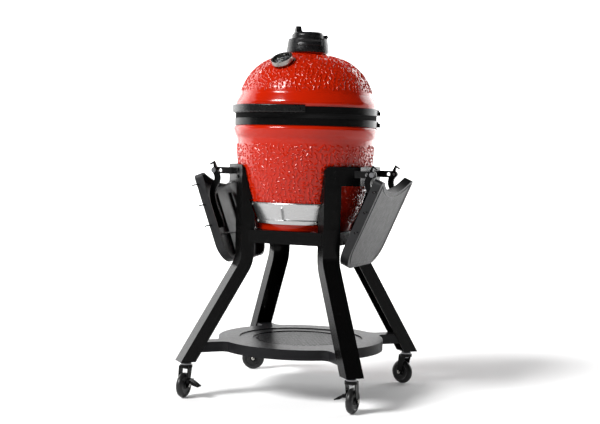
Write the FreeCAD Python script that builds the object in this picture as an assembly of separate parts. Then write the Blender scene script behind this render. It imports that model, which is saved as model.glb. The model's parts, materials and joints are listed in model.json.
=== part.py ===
import FreeCAD, Part
import math
import os

# Small kamado ceramic grill on a four-legged cart with two fold-down side shelves.
# Frame: +Z up, -Y is the front, the origin is on the floor below the axis of the ceramic body.
# All lengths in millimetres, all angles in degrees.

# ---- driving dimensions ---------------------------------------------------------------------
FOOT_Z = 475.0            # underside of the ceramic base
RIM_Z = 792.1             # top face of the ceramic base
GASKET_H = 6.9            # each felt gasket
LID_GAP = 0.3             # clearance between the two gaskets
WALL = 20.0               # ceramic wall
BAND_R = 203.0            # ceramic radius under the steel bands
BAND_T = 3.2              # lower steel band's thickness
UPPER_BAND_T = 4.0
LOWER_BAND_H = 19.7
UPPER_BAND_H = 18.6
NECK_R = 55.0             # smooth neck of the dome under the top vent
NECK_Z = 985.0            # top face of the neck
CHIMNEY_R = 42.0          # smoke opening

HINGE_Y = 234.0           # lid hinge axis, parallel to X
HINGE_Z = 799.0
HINGE_PIN_R = 5.0
LID_TURN = -20.5          # the bands carry the hinge and the handle turned this far round the body
STRAP_SPAN = 52.0         # hinge straps, either side of the hinge
HANDLE_SPAN = 41.5        # handle, either side of its middle
HANDLE_REACH = 232.0      # its outer face from the axis, in the middle
HANDLE_Z = (807.0, 829.0)

LEG_R = 201.0             # outer face of a leg's web above the bend, from the axis
LEG_TOP_Z = 660.0
LEG_KINK_Z = 390.0        # where the straight runs would meet
LEG_FOOT_R = 375.0        # outer face of a leg's web at its foot
LEG_FOOT_Z = 101.5
LEG_W = 51.7              # web width
LEG_D = 38.0              # flange depth
SHEET = 2.5               # steel sheet of the cart
BEND_R = 60.0             # bend radius of the web's outer face

PLATE_X = 202.0           # outer face of a side plate
PLATE_Z = 607.0           # its lower edge
RAIL_Y = 147.0            # outer face of a lower rail
RAIL_H = 37.0

TRAY_R = 240.0
TRAY_Z = 128.0
TRAY_H = 29.0

SHELF_TILT = {"right": 113.8, "left": 110.4}   # angle between each raised and hanging shelf
PIVOT_X = 242.0           # shelf pivot pins
PIVOT_Z = 640.0
SHELF_LIFT = 48.5         # pivot to top surface of the raised shelf
SHELF_L = 267.0
SHELF_HALF_W = 145.0
SHELF_T = 25.0            # rim height
SHELF_SKIN = 4.0
ARM_Y = 96.0              # middle of a bracket arm
ARM_T = 6.0
STRUT_T = 8.0
PIN_R = 4.0
RUNNING = 0.05            # radial clearance of a running fit

CASTER_R = 350.0          # swivel axis, from the axis of the grill
WHEEL_R = 35.5
WHEEL_HALF_W = 11.0
TRAIL = 13.0
STEM_R = 5.0
AXLE_R = 4.0
BRAKE_Y = 20.5            # brake lever's pin, from the middle plane of its wheel and from the floor
BRAKE_Z = 49.0
# Direction in which each swivel caster trails, from +X towards +Y.
CASTER_AZIMUTH = {"front_left": -90.0, "front_right": 88.0, "back_right": 159.0, "back_left": 202.0}
BRAKED = ("front_left", "front_right")

THERMO_AZIMUTH = -98.5    # thermometer's place round the dome, from +X
THERMO_R = 145.0          # middle of its rim from the axis
THERMO_Z = 961.6
THERMO_TILT = 33.4        # its axis from vertical
THERMO_RIM_R = 31.0

VENT_HALF_ANGLE = 38.5    # draft door frame, either side of the front
VENT_Z = (494.0, 555.0)
GRATE_R = 171.0           # 13.5 in cooking grate

X = FreeCAD.Vector(1, 0, 0)
Y = FreeCAD.Vector(0, 1, 0)
Z = FreeCAD.Vector(0, 0, 1)
ORIGIN = FreeCAD.Vector(0, 0, 0)


# ---- helpers --------------------------------------------------------------------------------
def vec(x, y, z):
    return FreeCAD.Vector(x, y, z)


def save(node, *solids):
    """Write one node, as one solid or as a group of separate solids."""
    shape = solids[0] if len(solids) == 1 else Part.makeCompound(list(solids))
    shape.exportStep("parts/%s.step" % node)


def box(x0, x1, y0, y1, z0, z1):
    return Part.makeBox(x1 - x0, y1 - y0, z1 - z0, vec(x0, y0, z0))


def rod(radius, start, end):
    run = end - start
    return Part.makeCylinder(radius, run.Length, start, run)


def ring(outer, inner, z0, z1):
    tube = Part.makeCylinder(outer, z1 - z0, vec(0, 0, z0))
    return tube.cut(Part.makeCylinder(inner, z1 - z0, vec(0, 0, z0)))


def path(runs, place):
    """A closed wire of runs; two points make a straight edge, more points make a smooth one."""
    edges = []
    for run in runs:
        points = [place(a, b) for a, b in run]
        if len(points) == 2:
            edges.append(Part.makeLine(points[0], points[1]))
        else:
            curve = Part.BSplineCurve()
            curve.interpolate(points)
            edges.append(curve.toShape())
    return Part.Wire(edges)


def joined(*parts):
    """Runs that follow each other, with a straight run wherever one doesn't start at the last end."""
    runs = []
    pen = parts[0][0]
    for part in parts:
        if part[0] != pen:
            runs.append([pen, part[0]])
        if len(part) > 1:
            runs.append(part)
        pen = part[-1]
    if pen != parts[0][0]:
        runs.append([pen, parts[0][0]])
    return runs


def straight(*points):
    """Corner points to be joined by straight runs."""
    return [[point] for point in points]


def turned(*parts):
    """A solid of revolution about Z from runs of (radius, height)."""
    wire = path(joined(*parts), lambda r, z: vec(r, 0, z))
    return Part.Face(wire).revolve(ORIGIN, Z, 360)


def slab(points, z0, z1):
    wire = Part.makePolygon([vec(x, y, z0) for x, y in points + points[:1]])
    return Part.Face(wire).extrude(vec(0, 0, z1 - z0))


def side_slab(runs, y0, y1):
    """A plate whose outline lies in the XZ plane."""
    wire = path(runs, lambda x, z: vec(x, y0, z))
    return Part.Face(wire).extrude(vec(0, y1 - y0, 0))


def spun(shape, angle, centre=ORIGIN, axis=Z):
    copy = shape.copy()
    copy.rotate(centre, axis, angle)
    return copy


def moved(shape, x, y, z):
    copy = shape.copy()
    copy.translate(vec(x, y, z))
    return copy


def flipped(shape, axis):
    return shape.mirror(ORIGIN, axis)


def four_ways(shape):
    """The shape at the front right, front left, back right and back left."""
    left = flipped(shape, X)
    return {
        "front_right": shape,
        "front_left": left,
        "back_right": flipped(shape, Y),
        "back_left": flipped(left, Y),
    }


def wedge(angle_0, angle_1, radius, z0, z1):
    """A sector about Z, between two angles from the front (-Y), positive towards +X."""
    sector = Part.makeCylinder(radius, z1 - z0, vec(0, 0, z0), Z, angle_1 - angle_0)
    return spun(sector, angle_0 - 90)


# ---- ceramic body ---------------------------------------------------------------------------
LOWER_EGG = [(143, 494), (158, 527), (170, 562), (184, 610), (193, 650), (197, 690), (198.5, 725)]
BULGE = [(198.5, 725), (200.5, 736), (206, 748), (210, 762), (207.5, 769), (BAND_R, 772)]
EGG_INSIDE = [(183, 760), (178, 700), (170, 640), (157, 580), (138, 520), (124, 500)]
DOME_OUT = [(64, 976.5), (85, 971), (110, 963), (131, 951.5), (157.5, 928.5), (174.2, 905.5), (185.8, 882),
            (191, 863)]
COLLAR = [(191, 863), (198.5, 849), (203.8, 838), (204.2, 831), (BAND_R, 826)]
DOME_IN = [(183, 830), (181, 858), (168, 890), (148, 918), (120, 941), (85, 953), (CHIMNEY_R, 957)]


def grown(points, by):
    return [(r + by, z) for r, z in points]


def base_solid(clearance=0.0):
    """The outer form of the base, solid inside, with some clearance all round."""
    egg = grown(LOWER_EGG, clearance)
    bulge = grown(BULGE, clearance)
    foot = [(0, FOOT_Z), (138 + clearance, FOOT_Z)]
    return turned(foot, egg, bulge, [(BAND_R + clearance, RIM_Z), (0, RIM_Z)])


def cone_shell(offset_0, offset_1, z0, z1, angle_0, angle_1):
    """A curved plate that follows the base behind the draft door, between two offsets from it."""
    def radius(z):
        return 143.5 + (z - 494) * 0.418

    corners = [(radius(z0) + offset_0, z0), (radius(z0) + offset_1, z0)]
    corners += [(radius(z1) + offset_1, z1), (radius(z1) + offset_0, z1)]
    shell = turned(*straight(*corners))
    return shell.common(wedge(angle_0, angle_1, 260, z0 - 1, z1 + 1))


def button(radius, height, place, direction):
    """A low button head, domed on its far side."""
    head = Part.makeCylinder(radius, height, place, direction)
    return head.makeFillet(min(height, radius) * 0.45, [head.Edges[0]])


def ceramic_base():
    cavity = turned([(0, 500), (124, 500)], EGG_INSIDE[::-1], [(183, RIM_Z), (0, RIM_Z)])
    draft = box(-48, 48, -200, -90, 504, 545)
    return base_solid().cut(cavity).cut(draft)


def ceramic_dome(thermo_hole):
    lid_z = RIM_Z + 2 * GASKET_H + LID_GAP
    neck = [(CHIMNEY_R, NECK_Z), (NECK_R, NECK_Z)]
    fillet = [(NECK_R, 981), (57.5, 978), (64, 976.5)]
    dome = turned(neck, fillet, DOME_OUT, COLLAR, [(BAND_R, lid_z), (183, lid_z)], DOME_IN)
    return dome.cut(thermo_hole)


def band(z0, height, thickness):
    return ring(BAND_R + thickness, BAND_R, z0, z0 + height)


def firebox():
    outside = straight((0, 500), (106, 500), (138, 560), (156, 640))
    inside = straight((142, 640), (127, 572), (124, 566), (110, 566), (94, 514), (0, 514))
    return turned(*outside, *inside).cut(box(-36, 36, -160, -80, 500, 545))


def slotted_disc(radius, z0, z1, pitch, slot):
    disc = Part.makeCylinder(radius, z1 - z0, vec(0, 0, z0))
    count = int(radius * 0.85 / pitch)
    for k in range(-count, count + 1):
        half = math.sqrt((radius * 0.86) ** 2 - (k * pitch) ** 2)
        disc = disc.cut(box(-half, half, k * pitch - slot / 2, k * pitch + slot / 2, z0, z1))
    return disc


def rod_grate(z, bars_r, rim_r, pitch):
    rim = Part.makeTorus(GRATE_R - rim_r, rim_r, vec(0, 0, z))
    bars = []
    count = int((GRATE_R - 10) / pitch)
    for k in range(-count, count + 1):
        half = math.sqrt((GRATE_R - rim_r) ** 2 - (k * pitch) ** 2)
        bars.append(rod(bars_r, vec(k * pitch, -half, z), vec(k * pitch, half, z)))
    return rim.multiFuse(bars)


def grate_stand():
    """Wire rack on the fire ring: two rings, four posts and two cross rods for the deflector."""
    wire_r, rod_r = 3.0, 2.6
    low, high = 708.0, 771.2
    rack = Part.makeTorus(151, wire_r, vec(0, 0, low))
    pieces = [Part.makeTorus(151, wire_r, vec(0, 0, high))]
    for angle in (45, 135, 225, 315):
        post = rod(rod_r, vec(151, 0, low), vec(151, 0, high))
        pieces.append(spun(post, angle))
    for y in (-60, 60):
        half = math.sqrt(151 ** 2 - y ** 2)
        pieces.append(rod(rod_r, vec(-half, y, low), vec(half, y, low)))
    return rack.multiFuse(pieces)


# ---- lid hardware ---------------------------------------------------------------------------
def handle_arc(reach):
    """Centre distance and radius of an arc that bulges to a reach and meets the band at its ends."""
    end = BAND_R + UPPER_BAND_T + 3
    across, ahead = (end * f(math.radians(HANDLE_SPAN)) for f in (math.sin, math.cos))
    centre = (reach ** 2 - across ** 2 - ahead ** 2) / (2 * (reach - ahead))
    return centre, reach - centre


def handle():
    """Curved bar on the upper band, with room for the fingers behind its middle, and its two bolts."""
    centre, radius = handle_arc(HANDLE_REACH)
    z0, z1 = HANDLE_Z
    outer = Part.makeCylinder(radius, z1 - z0, vec(0, -centre, z0))
    bar = outer.cut(Part.makeCylinder(radius - 9, z1 - z0, vec(0, -centre, z0)))
    bar = bar.common(wedge(-HANDLE_SPAN, HANDLE_SPAN, 260, z0 - 1, z1 + 1))
    bar = bar.cut(Part.makeCylinder(BAND_R + UPPER_BAND_T, 60, vec(0, 0, z0 - 10)))
    bar = bar.makeFillet(3.0, [e for e in bar.Edges if e.Length > 180])
    bolts = []
    face = 212.4
    for angle in (-37, 37):
        shank = rod(3.0, vec(0, -(BAND_R + UPPER_BAND_T), 818), vec(0, -face, 818))
        bolts.append(spun(shank.fuse(button(5.0, 2.4, vec(0, -face + 0.8, 818), -Y)), angle))
    for bolt in bolts:
        bar = bar.cut(bolt)
    return spun(bar, LID_TURN), [spun(bolt, LID_TURN) for bolt in bolts]


def strap(inner, outer, z0, z1):
    """Hinge strap round the back of a band."""
    span = wedge(180 - STRAP_SPAN, 180 + STRAP_SPAN, 260, z0 - 1, z1 + 1)
    return ring(outer, inner, z0, z1).common(span)


def hinge_ear(x0, x1, level, far_level):
    """Plate from a strap between two levels to an eye round the hinge axis."""
    outline = [(200, far_level), (230, far_level), (HINGE_Y + 12, HINGE_Z), (HINGE_Y - 12, HINGE_Z)]
    outline += [(212, level), (200, level), (200, far_level)]
    wire = Part.makePolygon([vec(x0, y, z) for y, z in outline])
    web = Part.Face(wire).extrude(vec(x1 - x0, 0, 0))
    return web.fuse(rod(12.0, vec(x0, HINGE_Y, HINGE_Z), vec(x1, HINGE_Y, HINGE_Z)))


def hinge_bracket(lower):
    """Strap, two bolt heads and two ears; the ears of the upper bracket are inside those of the lower."""
    if lower:
        body = strap(BAND_R + BAND_T, 210.5, 774, 790)
        bolt_z = 778.5
        spans, level, far_level = ((-44, -39), (39, 44)), 790, 774
    else:
        body = strap(BAND_R + UPPER_BAND_T, 211.0, 808, 824)
        bolt_z = 812.5
        spans, level, far_level = ((-38, -33), (33, 38)), 809, 824
    ears = [hinge_ear(x0, x1, level, far_level) for x0, x1 in spans]
    for angle in (-48, 48):
        ears.append(spun(box(-6, 6, 208, 215, bolt_z - 4.5, bolt_z + 7), angle))
    bore_r = HINGE_PIN_R if lower else HINGE_PIN_R + RUNNING
    bore = rod(bore_r, vec(-60, HINGE_Y, HINGE_Z), vec(60, HINGE_Y, HINGE_Z))
    inside = Part.makeCylinder(BAND_R + (BAND_T if lower else UPPER_BAND_T), 200, vec(0, 0, 700))
    return spun(body.multiFuse(ears).cut(inside).cut(bore), LID_TURN)


def hinge_pin():
    pin = rod(HINGE_PIN_R, vec(-48, HINGE_Y, HINGE_Z), vec(48, HINGE_Y, HINGE_Z))
    heads = []
    for x0, x1 in ((-51, -44), (44, 51)):
        heads.append(rod(8.5, vec(x0, HINGE_Y, HINGE_Z), vec(x1, HINGE_Y, HINGE_Z)))
    return spun(pin.multiFuse(heads), LID_TURN)


def hinge_springs():
    """Outer form of the two torsion springs on the hinge pin."""
    springs = []
    for x0, x1 in ((-31, -6), (6, 31)):
        coil = rod(10.5, vec(x0, HINGE_Y, HINGE_Z), vec(x1, HINGE_Y, HINGE_Z))
        hollow = coil.cut(rod(7.0, vec(x0, HINGE_Y, HINGE_Z), vec(x1, HINGE_Y, HINGE_Z)))
        springs.append(spun(hollow, LID_TURN))
    return springs


def thermo_placed(shape):
    """From the thermometer's own frame, face up at the origin, to its place on the dome."""
    tilted = spun(shape, THERMO_TILT, ORIGIN, Y)
    return spun(moved(tilted, THERMO_R, 0, THERMO_Z), THERMO_AZIMUTH)


def top_vent():
    """Chimney ring on the neck, hinged cap above it, rotating dial with its tab on top."""
    ring_z, cap_z = 1024.0, 1040.0
    chimney = turned(*straight((45, NECK_Z), (61.3, NECK_Z), (61.3, 991), (56.6, ring_z), (45, ring_z)))
    pivot = (50.5, 1031.5)
    ears = [box(x - 3, x + 3, 46, 54.5, ring_z - 8, 1036.5) for x in (-22, 22)]
    wall = Part.makeCylinder(56, 60, vec(0, 0, 980))
    ears = [ear.common(wall) for ear in ears]
    bore = rod(2.0, vec(-40, *pivot), vec(40, *pivot))
    chimney = chimney.multiFuse(ears).cut(Part.makeCylinder(45, 39, vec(0, 0, NECK_Z))).cut(bore)

    outside = [(46.5, ring_z + 0.3), (46.5, 1033), (45.3, 1037), (42.5, cap_z)]
    inside = straight((0, cap_z), (0, cap_z - 4), (41, cap_z - 4), (41, ring_z + 0.3))
    cap = turned(outside[:1], outside[1:], *inside)
    knuckle = rod(4.2, vec(-18.7, *pivot), vec(18.7, *pivot))
    bridge = box(-18.7, 18.7, 38, 50.5, 1027.6, 1035.6).cut(Part.makeCylinder(43, 60, vec(0, 0, 1000)))
    cap = cap.multiFuse([knuckle, bridge])
    for x in (-22, 22):
        cap = cap.cut(box(x - 3.3, x + 3.3, 40, 60, 1020, 1037))
    cap = cap.cut(rod(2.0 + RUNNING, vec(-40, *pivot), vec(40, *pivot)))
    ports = [spun(box(12, 34, -7, 7, cap_z - 5, cap_z + 1), 30 + 60 * k) for k in range(6)]
    cap = cap.cut(ports[0].multiFuse(ports[1:]))
    cap = cap.cut(Part.makeCylinder(5 + RUNNING, 12, vec(0, 0, cap_z - 6)))

    plate = Part.makeCylinder(41, 2.5, vec(0, 0, cap_z + 0.3))
    tab_side = [(21, cap_z + 2), (40.5, cap_z + 2), (38, 1060), (24.5, 1060)]
    runs = [[tab_side[i], tab_side[(i + 1) % 4]] for i in range(4)]
    tab = side_slab(runs, -9, 9)
    for y0, y1 in ((-20, -5.5), (5.5, 20)):
        tab = tab.cut(box(15, 50, y0, y1, cap_z + 6, 1061))
    spindle = Part.makeCylinder(5, 9, vec(0, 0, cap_z - 6))
    holes = [spun(box(14, 34, -5.5, 5.5, cap_z, cap_z + 4), 60 * k + 30) for k in range(6)]
    dial = plate.cut(holes[0].multiFuse(holes[1:])).multiFuse([spun(tab, 225), spindle])
    pin = rod(2.0, vec(-25, *pivot), vec(25, *pivot))
    return spun(chimney, -45), spun(cap, -45), dial, spun(pin, -45)


# ---- cart -----------------------------------------------------------------------------------
LEG_SLOPE = math.atan((LEG_FOOT_R - LEG_R) / (LEG_KINK_Z - LEG_FOOT_Z))


def leg_line(offset):
    """Tangent points of a bent line parallel to the web's outer face, from the top to the foot."""
    s, c = math.sin(LEG_SLOPE), math.cos(LEG_SLOPE)
    radius = BEND_R + offset
    centre = (LEG_R + BEND_R, LEG_KINK_Z + BEND_R * math.tan(LEG_SLOPE / 2))
    bend_in = (LEG_R - offset, centre[1])
    half = LEG_SLOPE / 2
    bend_mid = (centre[0] - radius * math.cos(half), centre[1] - radius * math.sin(half))
    bend_out = (centre[0] - radius * c, centre[1] - radius * s)
    foot_r = bend_out[0] + (bend_out[1] - LEG_FOOT_Z) * s / c
    return (LEG_R - offset, LEG_TOP_Z), bend_in, bend_mid, bend_out, (foot_r, LEG_FOOT_Z)


def bent_bar(outer, inner, half_w):
    """Bar along a leg, between two offsets from the web's outer face."""
    a, b = leg_line(outer), leg_line(inner)

    def point(pair):
        return vec(pair[0], -half_w, pair[1])

    edges = [Part.makeLine(point(a[0]), point(a[1]))]
    edges.append(Part.Arc(point(a[1]), point(a[2]), point(a[3])).toShape())
    edges.append(Part.makeLine(point(a[3]), point(a[4])))
    edges.append(Part.makeLine(point(a[4]), point(b[4])))
    edges.append(Part.makeLine(point(b[4]), point(b[3])))
    edges.append(Part.Arc(point(b[3]), point(b[2]), point(b[1])).toShape())
    edges.append(Part.makeLine(point(b[1]), point(b[0])))
    edges.append(Part.makeLine(point(b[0]), point(a[0])))
    return Part.Face(Part.Wire(edges)).extrude(vec(0, 2 * half_w, 0))


def corner_cutter():
    """What a rounded top corner takes off the web and the plate on it, in a leg's own frame."""
    radius = 14.0
    edge = -LEG_W / 2
    block = box(100, 300, edge - 1, edge + radius, LEG_TOP_Z - radius, LEG_TOP_Z + 1)
    y, z = edge + radius, LEG_TOP_Z - radius
    return block.cut(rod(radius, vec(100, y, z), vec(300, y, z)))


def leg(clear_of_egg):
    """Front right leg: a U channel, open towards the axis, bent outwards below the body."""
    bar = bent_bar(0, LEG_D, LEG_W / 2).cut(bent_bar(SHEET, LEG_D + 1, LEG_W / 2 - SHEET))
    sole = bent_bar(SHEET, LEG_D, LEG_W / 2 - SHEET)
    sole = sole.common(box(250, 400, -30, 30, LEG_FOOT_Z, LEG_FOOT_Z + 3))
    bar = bar.fuse(sole).cut(corner_cutter())
    bar = bar.cut(Part.makeCylinder(STEM_R, 40, vec(CASTER_R, 0, LEG_FOOT_Z - 10)))
    return spun(bar, -45).cut(clear_of_egg)


def side_plate(clear_of_egg):
    """Right side plate: it lies on the webs of both right legs and bridges them past the body."""
    root2 = math.sqrt(2)
    far = (LEG_R + SHEET) / root2
    near = LEG_R / root2
    edge = LEG_W / 2 / root2
    outer = [(far - edge, -far - edge), (PLATE_X, PLATE_X - 2 * far)]
    inner = [(PLATE_X - SHEET, PLATE_X - SHEET - 2 * near), (near - edge, -near - edge)]
    plan = outer + [(x, -y) for x, y in outer[::-1]] + [(x, -y) for x, y in inner[::-1]] + inner
    plate = slab(plan, PLATE_Z, LEG_TOP_Z)
    cutter = spun(corner_cutter(), -45)
    return plate.cut(cutter).cut(flipped(cutter, Y)).cut(clear_of_egg)


def rail(legs):
    """Front lower rail: an upright face with a ledge inwards that carries the body."""
    top = FOOT_Z
    face = box(-130, 130, -RAIL_Y, -RAIL_Y + SHEET, top - RAIL_H, top)
    ledge = box(-130, 130, -RAIL_Y, -RAIL_Y + 30, top - SHEET, top)
    bar = face.fuse(ledge)
    diagonal = [(0, 0), (-400, -400), (400, -400)]
    bar = bar.common(slab(diagonal, top - 60, top + 1))
    for shape in legs:
        bar = bar.cut(shape)
    return max(bar.Solids, key=lambda solid: solid.Volume)


def tray_plan(inset, z0, z1):
    """Disc with four lobes that plug into the legs, as a solid between two heights."""
    disc = Part.makeCylinder(TRAY_R - inset, z1 - z0, vec(0, 0, z0))
    lobe = box(-333 + inset, 333 - inset, -22.5 + inset, 22.5 - inset, z0, z1)
    cross = disc.multiFuse([spun(lobe, 45), spun(lobe, -45)])
    corners = []
    for edge in cross.Edges:
        mid = edge.CenterOfMass
        upright = abs(edge.Vertexes[0].Z - edge.Vertexes[-1].Z) > (z1 - z0) * 0.9
        if upright and abs(math.hypot(mid.x, mid.y) - (TRAY_R - inset)) < 1.5:
            corners.append(edge)
    return cross.makeFillet(24.0 + inset, corners)


def tray():
    top = TRAY_Z + TRAY_H
    body = tray_plan(0, TRAY_Z, top)
    body = body.cut(tray_plan(SHEET, TRAY_Z, top - 9))
    body = body.cut(Part.makeCylinder(180, 3, vec(0, 0, top - 3)))
    body = body.cut(Part.makeCylinder(140, 3, vec(0, 0, top - 6)))
    rim_hollow = tray_plan(SHEET, top - 9, top - 3).cut(Part.makeCylinder(183, 20, vec(0, 0, top - 20)))
    body = body.cut(rim_hollow)
    body = body.cut(ring(183, 143, top - 9, top - 6))
    return body


# ---- side shelves ---------------------------------------------------------------------------
SHELF_X = PIVOT_X - 0.6   # inner edge of the raised shelf
SHELF_Z = PIVOT_Z + SHELF_LIFT


def shelf_plan(inset, z0, z1):
    """Raised right shelf seen from above: a rectangle with round outer corners and a round bite."""
    corner = 60.0 - inset
    x0, x1 = SHELF_X + inset, SHELF_X + SHELF_L - inset
    half = SHELF_HALF_W - inset
    plate = box(x0, x1, -half, half, z0, z1)
    upright = [e for e in plate.Edges if e.Length == z1 - z0 or abs(e.Length - (z1 - z0)) < 1e-6]
    plate = plate.makeFillet(corner, [e for e in upright if e.CenterOfMass.x > x1 - 1])
    bite_r = 235.0 + inset
    bite = Part.makeCylinder(bite_r, z1 - z0, vec(SHELF_X + 36 + inset - bite_r, 0, z0))
    plate = plate.cut(bite)
    horns = []
    for edge in plate.Edges:
        mid = edge.CenterOfMass
        upright = abs(edge.Length - (z1 - z0)) < 1e-6 and abs(edge.Vertexes[0].X - edge.Vertexes[-1].X) < 1e-6
        if upright and mid.x < x0 + 1 and abs(mid.y) > half - 1:
            horns.append(edge)
    return plate.makeFillet(max(12.0 - inset, 2.0), horns)


def hung(shape, side):
    """From the raised place on the right to the hanging place on either side."""
    shape = spun(shape, SHELF_TILT[side], vec(PIVOT_X, 0, PIVOT_Z), Y)
    return shape if side == "right" else flipped(shape, X)


def shelf_panel():
    panel = shelf_plan(0, SHELF_Z - SHELF_T, SHELF_Z)
    panel = panel.cut(shelf_plan(SHELF_SKIN, SHELF_Z - SHELF_T, SHELF_Z - SHELF_SKIN))
    ribs = []
    for y in (-48, 48):
        ribs.append(box(SHELF_X + 60, SHELF_X + 250, y - 1.5, y + 1.5, SHELF_Z - 11, SHELF_Z - SHELF_SKIN))
    ribs.append(box(SHELF_X + 180, SHELF_X + 183, -120, 120, SHELF_Z - 11, SHELF_Z - SHELF_SKIN))
    return panel.multiFuse(ribs)


def shelf_struts():
    """Two S-shaped struts from the pivots to the underside, each with a hook beyond its pivot."""
    middle = [(0.6, 48.5), (15, 52.5), (31, 48), (46, 33), (58, 24), (79, 18), (110, 17.2), (165, 17.2)]
    half = 8.5
    sides = ([], [])
    for k, (u, w) in enumerate(middle):
        before, after = middle[max(k - 1, 0)], middle[min(k + 1, len(middle) - 1)]
        du, dw = after[0] - before[0], after[1] - before[1]
        length = math.hypot(du, dw)
        for side, sign in zip(sides, (-1, 1)):
            side.append((SHELF_X + u - sign * dw / length * half, SHELF_Z - w - sign * du / length * half))
    outline = joined(sides[0], sides[1][::-1])
    hook = [(6, 46), (-19, 53.5), (-17.5, 43), (-21, 41.5), (-24.5, 58), (4, 60)]
    hook = [(SHELF_X + u, SHELF_Z - w) for u, w in hook]
    hook_runs = [[hook[i], hook[(i + 1) % len(hook)]] for i in range(len(hook))]
    struts = []
    for sign in (-1, 1):
        near = ARM_Y + ARM_T / 2 + 0.3
        y0, y1 = (near, near + STRUT_T) if sign > 0 else (-near - STRUT_T, -near)
        strut = side_slab(outline, y0, y1)
        eye = rod(8.5, vec(PIVOT_X, y0, PIVOT_Z), vec(PIVOT_X, y1, PIVOT_Z))
        foot = box(SHELF_X + 84, SHELF_X + 160, y0 - 7, y1 + 7, SHELF_Z - 8.8, SHELF_Z - SHELF_SKIN)
        strut = strut.multiFuse([eye, side_slab(hook_runs, y0, y1), foot])
        bore = rod(PIN_R + RUNNING, vec(PIVOT_X, y0 - 1, PIVOT_Z), vec(PIVOT_X, y1 + 1, PIVOT_Z))
        struts.append(strut.cut(bore))
    return struts


def shelf_pegs():
    """Three utensil pegs on the front edge of the shelf."""
    pegs = []
    for u in (31.0, 92.5, 154.0):
        start = vec(SHELF_X + u, -SHELF_HALF_W, SHELF_Z - 7)
        turn = vec(SHELF_X + u, -SHELF_HALF_W - 26, SHELF_Z - 7)
        tip = vec(SHELF_X + u, -SHELF_HALF_W - 32, SHELF_Z - 1)
        peg = rod(1.8, start, turn).multiFuse([rod(1.8, turn, tip), Part.makeSphere(1.8, turn)])
        pegs.append(peg)
    return pegs


def shelf_arms(plate):
    """Bracket arms welded to the right side plate, each with a pin hole and a latch slot."""
    arms = []
    y0, y1 = ARM_Y - ARM_T / 2, ARM_Y + ARM_T / 2
    half = 9.75
    for sign in (-1, 1):
        near, far = (y0, y1) if sign > 0 else (-y1, -y0)
        arm = box(180, PIVOT_X, near, far, PIVOT_Z - half, PIVOT_Z + half)
        arm = arm.fuse(rod(half, vec(PIVOT_X, near, PIVOT_Z), vec(PIVOT_X, far, PIVOT_Z)))
        mitre = [(150, 0), (PLATE_X, 0), (PLATE_X, 85.8), (180, 107.8), (150, 137.8)]
        arm = arm.cut(slab([(x, y * sign) for x, y in mitre][::sign], 600, 680)).cut(plate)
        slot = box(220, 230, near - 1, far + 1, PIVOT_Z - 5, PIVOT_Z + 5)
        slot = slot.makeFillet(4.0, [e for e in slot.Edges if abs(e.Length - (far - near + 2)) < 1e-6])
        arm = arm.cut(slot)
        arm = arm.cut(rod(PIN_R, vec(PIVOT_X, near - 1, PIVOT_Z), vec(PIVOT_X, far + 1, PIVOT_Z)))
        arms.append(max(arm.Solids, key=lambda s: s.Volume))
    return arms


def shelf_pins():
    pins = []
    start, end = ARM_Y - ARM_T / 2 - 2, ARM_Y + ARM_T / 2 + STRUT_T + 0.6
    for sign in (-1, 1):
        pin = rod(PIN_R, vec(PIVOT_X, sign * start, PIVOT_Z), vec(PIVOT_X, sign * end, PIVOT_Z))
        head = rod(7, vec(PIVOT_X, sign * end, PIVOT_Z), vec(PIVOT_X, sign * (end + 3), PIVOT_Z))
        pins.append(pin.fuse(head))
    return pins


# ---- casters --------------------------------------------------------------------------------
AXLE_Z = WHEEL_R
CROWN = (84.0, 92.0)      # fork crown's lower and upper face
ARM_IN = 12.5             # inner face of a fork arm
ARM_OUT = 15.0


def caster_place(shape, corner):
    """From a caster's own frame, trailing along +X, to its corner of the cart."""
    corners = {"front_right": -45, "front_left": -135, "back_right": 45, "back_left": 135}
    angle = math.radians(corners[corner])
    turned_shape = spun(shape, CASTER_AZIMUTH[corner])
    return moved(turned_shape, CASTER_R * math.cos(angle), CASTER_R * math.sin(angle), 0)


def caster_stem():
    """Threaded stem with its nut, bearing cup and the swivel's rivet head."""
    stem = Part.makeCylinder(STEM_R, 40, vec(0, 0, 79))
    low = CROWN[1] + 0.3
    cup = turned(*straight((0, low), (15, low), (15, 96), (11, LEG_FOOT_Z), (0, LEG_FOOT_Z)))
    head = Part.makeCylinder(8, CROWN[0] - 80.7, vec(0, 0, 80.4))
    nut = slab([(9 * math.cos(k * math.pi / 3), 9 * math.sin(k * math.pi / 3)) for k in range(6)],
               LEG_FOOT_Z + 3, LEG_FOOT_Z + 10)
    return stem.multiFuse([cup, head, nut])


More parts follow.
